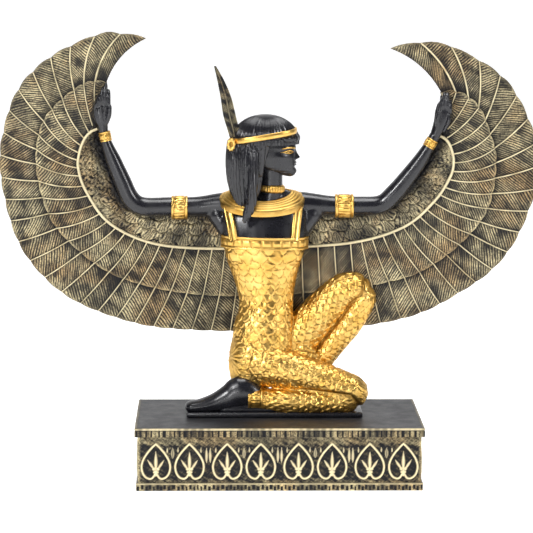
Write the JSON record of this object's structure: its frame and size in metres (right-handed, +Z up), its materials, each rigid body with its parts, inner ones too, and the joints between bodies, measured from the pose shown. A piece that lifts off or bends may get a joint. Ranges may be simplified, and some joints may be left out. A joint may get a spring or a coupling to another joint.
{
  "type": "winged kneeling figure statuette",
  "caption": "Black and gold winged goddess kneeling on an ornamented rectangular plinth, arms raised along two wide feathered wings, a tall plume in her headband.",
  "frame": {"origin": "centre of the plinth's underside", "axes": "+X to the side the figure faces, along the wings; +Y from the viewer's side to the back; +Z up"},
  "size_m": [0.2668, 0.078, 0.219],
  "materials": {
    "figure_resin": "cast resin, glossy black skin and hair, bright gold dress, black wings dry-brushed with gold",
    "plinth_resin": "cast resin, satin black top, sides dry-brushed with pale gold"
  },
  "bodies": {
    "root": {"figure": "figure_resin", "plinth": "plinth_resin"}
  },
  "joints": []
}
